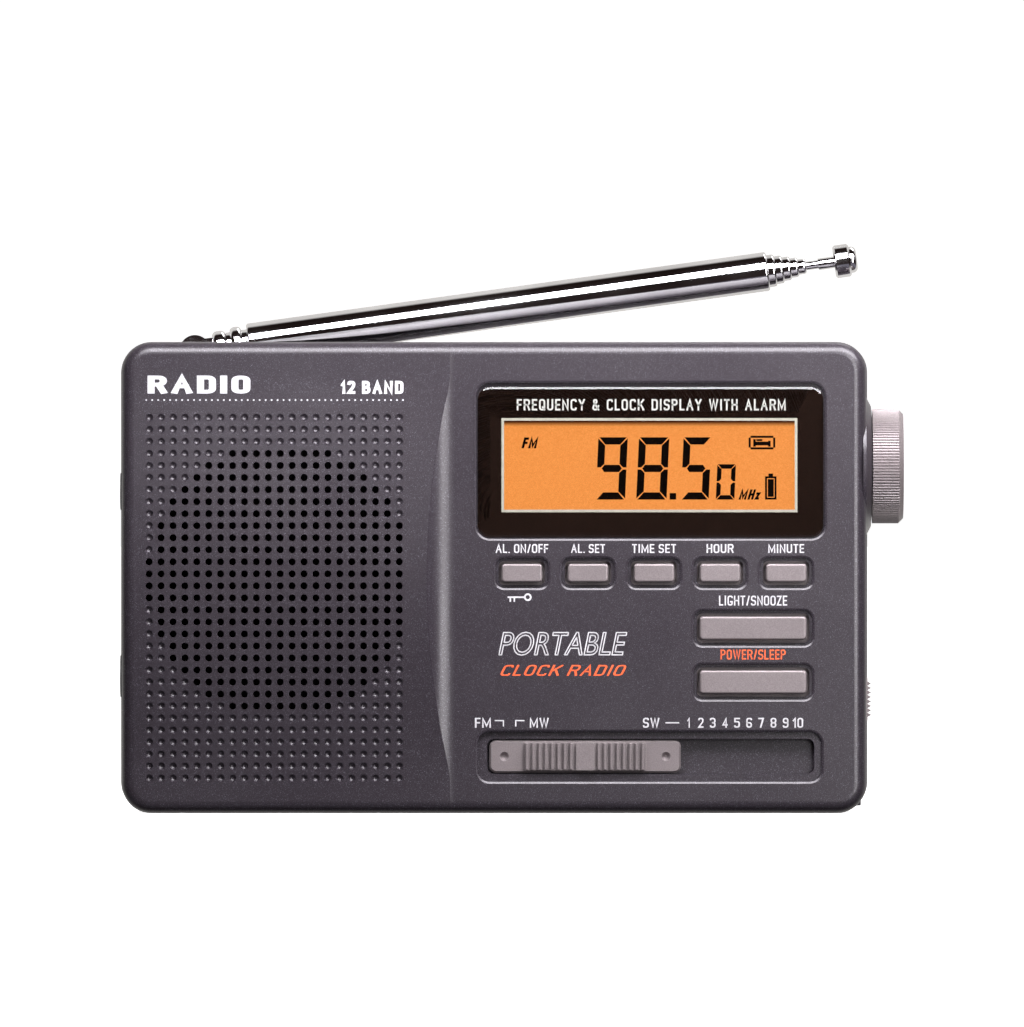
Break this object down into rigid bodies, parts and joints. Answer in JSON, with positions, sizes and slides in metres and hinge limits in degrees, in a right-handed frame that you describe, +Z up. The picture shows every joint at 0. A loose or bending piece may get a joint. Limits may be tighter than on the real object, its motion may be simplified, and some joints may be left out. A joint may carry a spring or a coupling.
{
  "type": "pocket shortwave receiver",
  "caption": "Pocket shortwave receiver with a backlit display, band slide, push buttons, side tuning knob, speaker grille and a folding rod aerial.",
  "frame": {"origin": "middle of the flat underside of the case, half way through its depth", "axes": "+Z up, +X to the right as the front is seen, front faces -Y"},
  "size_m": [0.1269, 0.0304, 0.0922],
  "materials": {
    "case_plastic": "fine satin grain",
    "key_plastic": "satin warm grey",
    "clear_plastic": "clear polished",
    "black_film": "gloss black",
    "lcd": "backlit display glass",
    "light_guide": "glowing light guide",
    "white_plastic": "moulded white",
    "black_rubber": "matt",
    "board_green": "solder mask",
    "chip_plastic": "moulded black",
    "tinned_steel": "tinned",
    "black_plastic": "moulded black",
    "plated_steel": "bright plate",
    "brass_metal": "machined",
    "gear_plastic": "acetal",
    "paper": "pressed paper",
    "cloth": "thin woven cloth",
    "ferrite": "sintered",
    "copper_wire": "enamelled copper",
    "magnet": "sintered with plated cap",
    "cell_jacket": "printed steel jacket",
    "screw_steel": "blackened zinc",
    "capacitor_sleeve": "shrink sleeve"
  },
  "bodies": {
    "chassis": {"front_case": "case_plastic", "rear_case": "case_plastic", "display_lens": "clear_plastic", "display_mask": "black_film", "lcd_glass": "lcd", "lcd_backlight": "light_guide", "lcd_holder": "white_plastic", "zebra_strip": "black_rubber", "main_board": "board_green", "board_chips": "chip_plastic", "shield_cans": "tinned_steel", "board_capacitors": "capacitor_sleeve", "tact_switches": "black_plastic", "band_switch": "black_plastic", "volume_pot": "tinned_steel", "tuning_bushing": "brass_metal", "tuning_capacitor": "white_plastic", "speaker_frame": "tinned_steel", "speaker_cone": "paper", "speaker_magnet": "magnet", "speaker_cloth": "cloth", "ferrite_rod": "ferrite", "ferrite_coil": "copper_wire", "ferrite_supports": "white_plastic", "antenna_bushing": "brass_metal", "earphone_jack": "black_plastic", "dc_jack": "black_plastic", "battery_cells": "cell_jacket", "battery_contacts": "plated_steel", "kickstand_pin": "tinned_steel", "case_screws": "screw_steel", "small_screws": "screw_steel"},
    "button_alarm": {"button_alarm": "key_plastic"},
    "button_alarm_set": {"button_alarm_set": "key_plastic"},
    "button_time_set": {"button_time_set": "key_plastic"},
    "button_hour": {"button_hour": "key_plastic"},
    "button_minute": {"button_minute": "key_plastic"},
    "button_light_snooze": {"button_light_snooze": "key_plastic"},
    "button_power_sleep": {"button_power_sleep": "key_plastic"},
    "band_slide": {"band_slider": "key_plastic", "band_actuator": "white_plastic"},
    "tuning": {"tuning_knob": "key_plastic", "tuning_shaft": "brass_metal", "tuning_pinion": "gear_plastic"},
    "rotor": {"capacitor_gear": "gear_plastic", "capacitor_shaft": "brass_metal"},
    "volume": {"volume_slider": "key_plastic", "volume_wiper": "black_plastic"},
    "antenna_fork": {"antenna_swivel": "plated_steel", "antenna_pin": "plated_steel"},
    "antenna_base": {"antenna_tube": "plated_steel"},
    "antenna_2": {"antenna_section_2": "plated_steel"},
    "antenna_3": {"antenna_section_3": "plated_steel"},
    "antenna_4": {"antenna_section_4": "plated_steel"},
    "antenna_5": {"antenna_section_5": "plated_steel"},
    "antenna_6": {"antenna_section_6": "plated_steel"},
    "antenna_last": {"antenna_rod": "plated_steel", "antenna_tip": "plated_steel"},
    "stand": {"kickstand": "case_plastic"},
    "door": {"battery_door": "case_plastic"}
  },
  "joints": [
    {"name": "press_alarm", "type": "slide", "parent": "chassis", "child": "button_alarm", "axis": [0, 1, 0], "range_m": [0, 0.0005], "stiffness_N_per_m": 400},
    {"name": "press_alarm_set", "type": "slide", "parent": "chassis", "child": "button_alarm_set", "axis": [0, 1, 0], "range_m": [0, 0.0005], "stiffness_N_per_m": 400},
    {"name": "press_time_set", "type": "slide", "parent": "chassis", "child": "button_time_set", "axis": [0, 1, 0], "range_m": [0, 0.0005], "stiffness_N_per_m": 400},
    {"name": "press_hour", "type": "slide", "parent": "chassis", "child": "button_hour", "axis": [0, 1, 0], "range_m": [0, 0.0005], "stiffness_N_per_m": 400},
    {"name": "press_minute", "type": "slide", "parent": "chassis", "child": "button_minute", "axis": [0, 1, 0], "range_m": [0, 0.0005], "stiffness_N_per_m": 400},
    {"name": "press_light_snooze", "type": "slide", "parent": "chassis", "child": "button_light_snooze", "axis": [0, 1, 0], "range_m": [0, 0.0005], "stiffness_N_per_m": 400},
    {"name": "press_power_sleep", "type": "slide", "parent": "chassis", "child": "button_power_sleep", "axis": [0, 1, 0], "range_m": [0, 0.0005], "stiffness_N_per_m": 400},
    {"name": "band_select", "type": "slide", "parent": "chassis", "child": "band_slide", "axis": [1, 0, 0], "range_m": [0, 0.0212]},
    {"name": "tuning_spin", "type": "hinge", "parent": "chassis", "child": "tuning", "pos_m": [0.0637, -0.002, 0.05605], "axis": [1, 0, 0], "range_deg": [-240, 240]},
    {"name": "rotor_spin", "type": "hinge", "parent": "chassis", "child": "rotor", "pos_m": [0.0545, 0.0035, 0.04652], "axis": [1, 0, 0], "range_deg": [-90, 90]},
    {"name": "volume_slide", "type": "slide", "parent": "chassis", "child": "volume", "axis": [0, 0, 1], "range_m": [-0.0045, 0.0115]},
    {"name": "antenna_swivel", "type": "hinge", "parent": "chassis", "child": "antenna_fork", "pos_m": [-0.0486, 0.0095, 0.0749], "axis": [0, 0, 1], "range_deg": [0, 180]},
    {"name": "antenna_tilt", "type": "hinge", "parent": "antenna_fork", "child": "antenna_base", "pos_m": [-0.0486, 0.0095, 0.0749], "axis": [0, -1, 0], "range_deg": [-7.87, 82.13]},
    {"name": "extend_1", "type": "slide", "parent": "antenna_base", "child": "antenna_2", "axis": [0.9906, 0, 0.1369], "range_m": [0, 0.075]},
    {"name": "extend_2", "type": "slide", "parent": "antenna_2", "child": "antenna_3", "axis": [0.9906, 0, 0.1369], "range_m": [0, 0.075]},
    {"name": "extend_3", "type": "slide", "parent": "antenna_3", "child": "antenna_4", "axis": [0.9906, 0, 0.1369], "range_m": [0, 0.075]},
    {"name": "extend_4", "type": "slide", "parent": "antenna_4", "child": "antenna_5", "axis": [0.9906, 0, 0.1369], "range_m": [0, 0.075]},
    {"name": "extend_5", "type": "slide", "parent": "antenna_5", "child": "antenna_6", "axis": [0.9906, 0, 0.1369], "range_m": [0, 0.075]},
    {"name": "extend_6", "type": "slide", "parent": "antenna_6", "child": "antenna_last", "axis": [0.9906, 0, 0.1369], "range_m": [0, 0.075]},
    {"name": "stand_open", "type": "hinge", "parent": "chassis", "child": "stand", "pos_m": [-0.033, 0.0139, 0.008], "axis": [-1, 0, 0], "range_deg": [0, 65]},
    {"name": "door_slide", "type": "slide", "parent": "chassis", "child": "door", "axis": [1, 0, 0], "range_m": [0, 0.064]}
  ],
  "couplings": [
    {"joint": "rotor_spin", "follows": "tuning_spin", "ratio": -0.375}
  ]
}
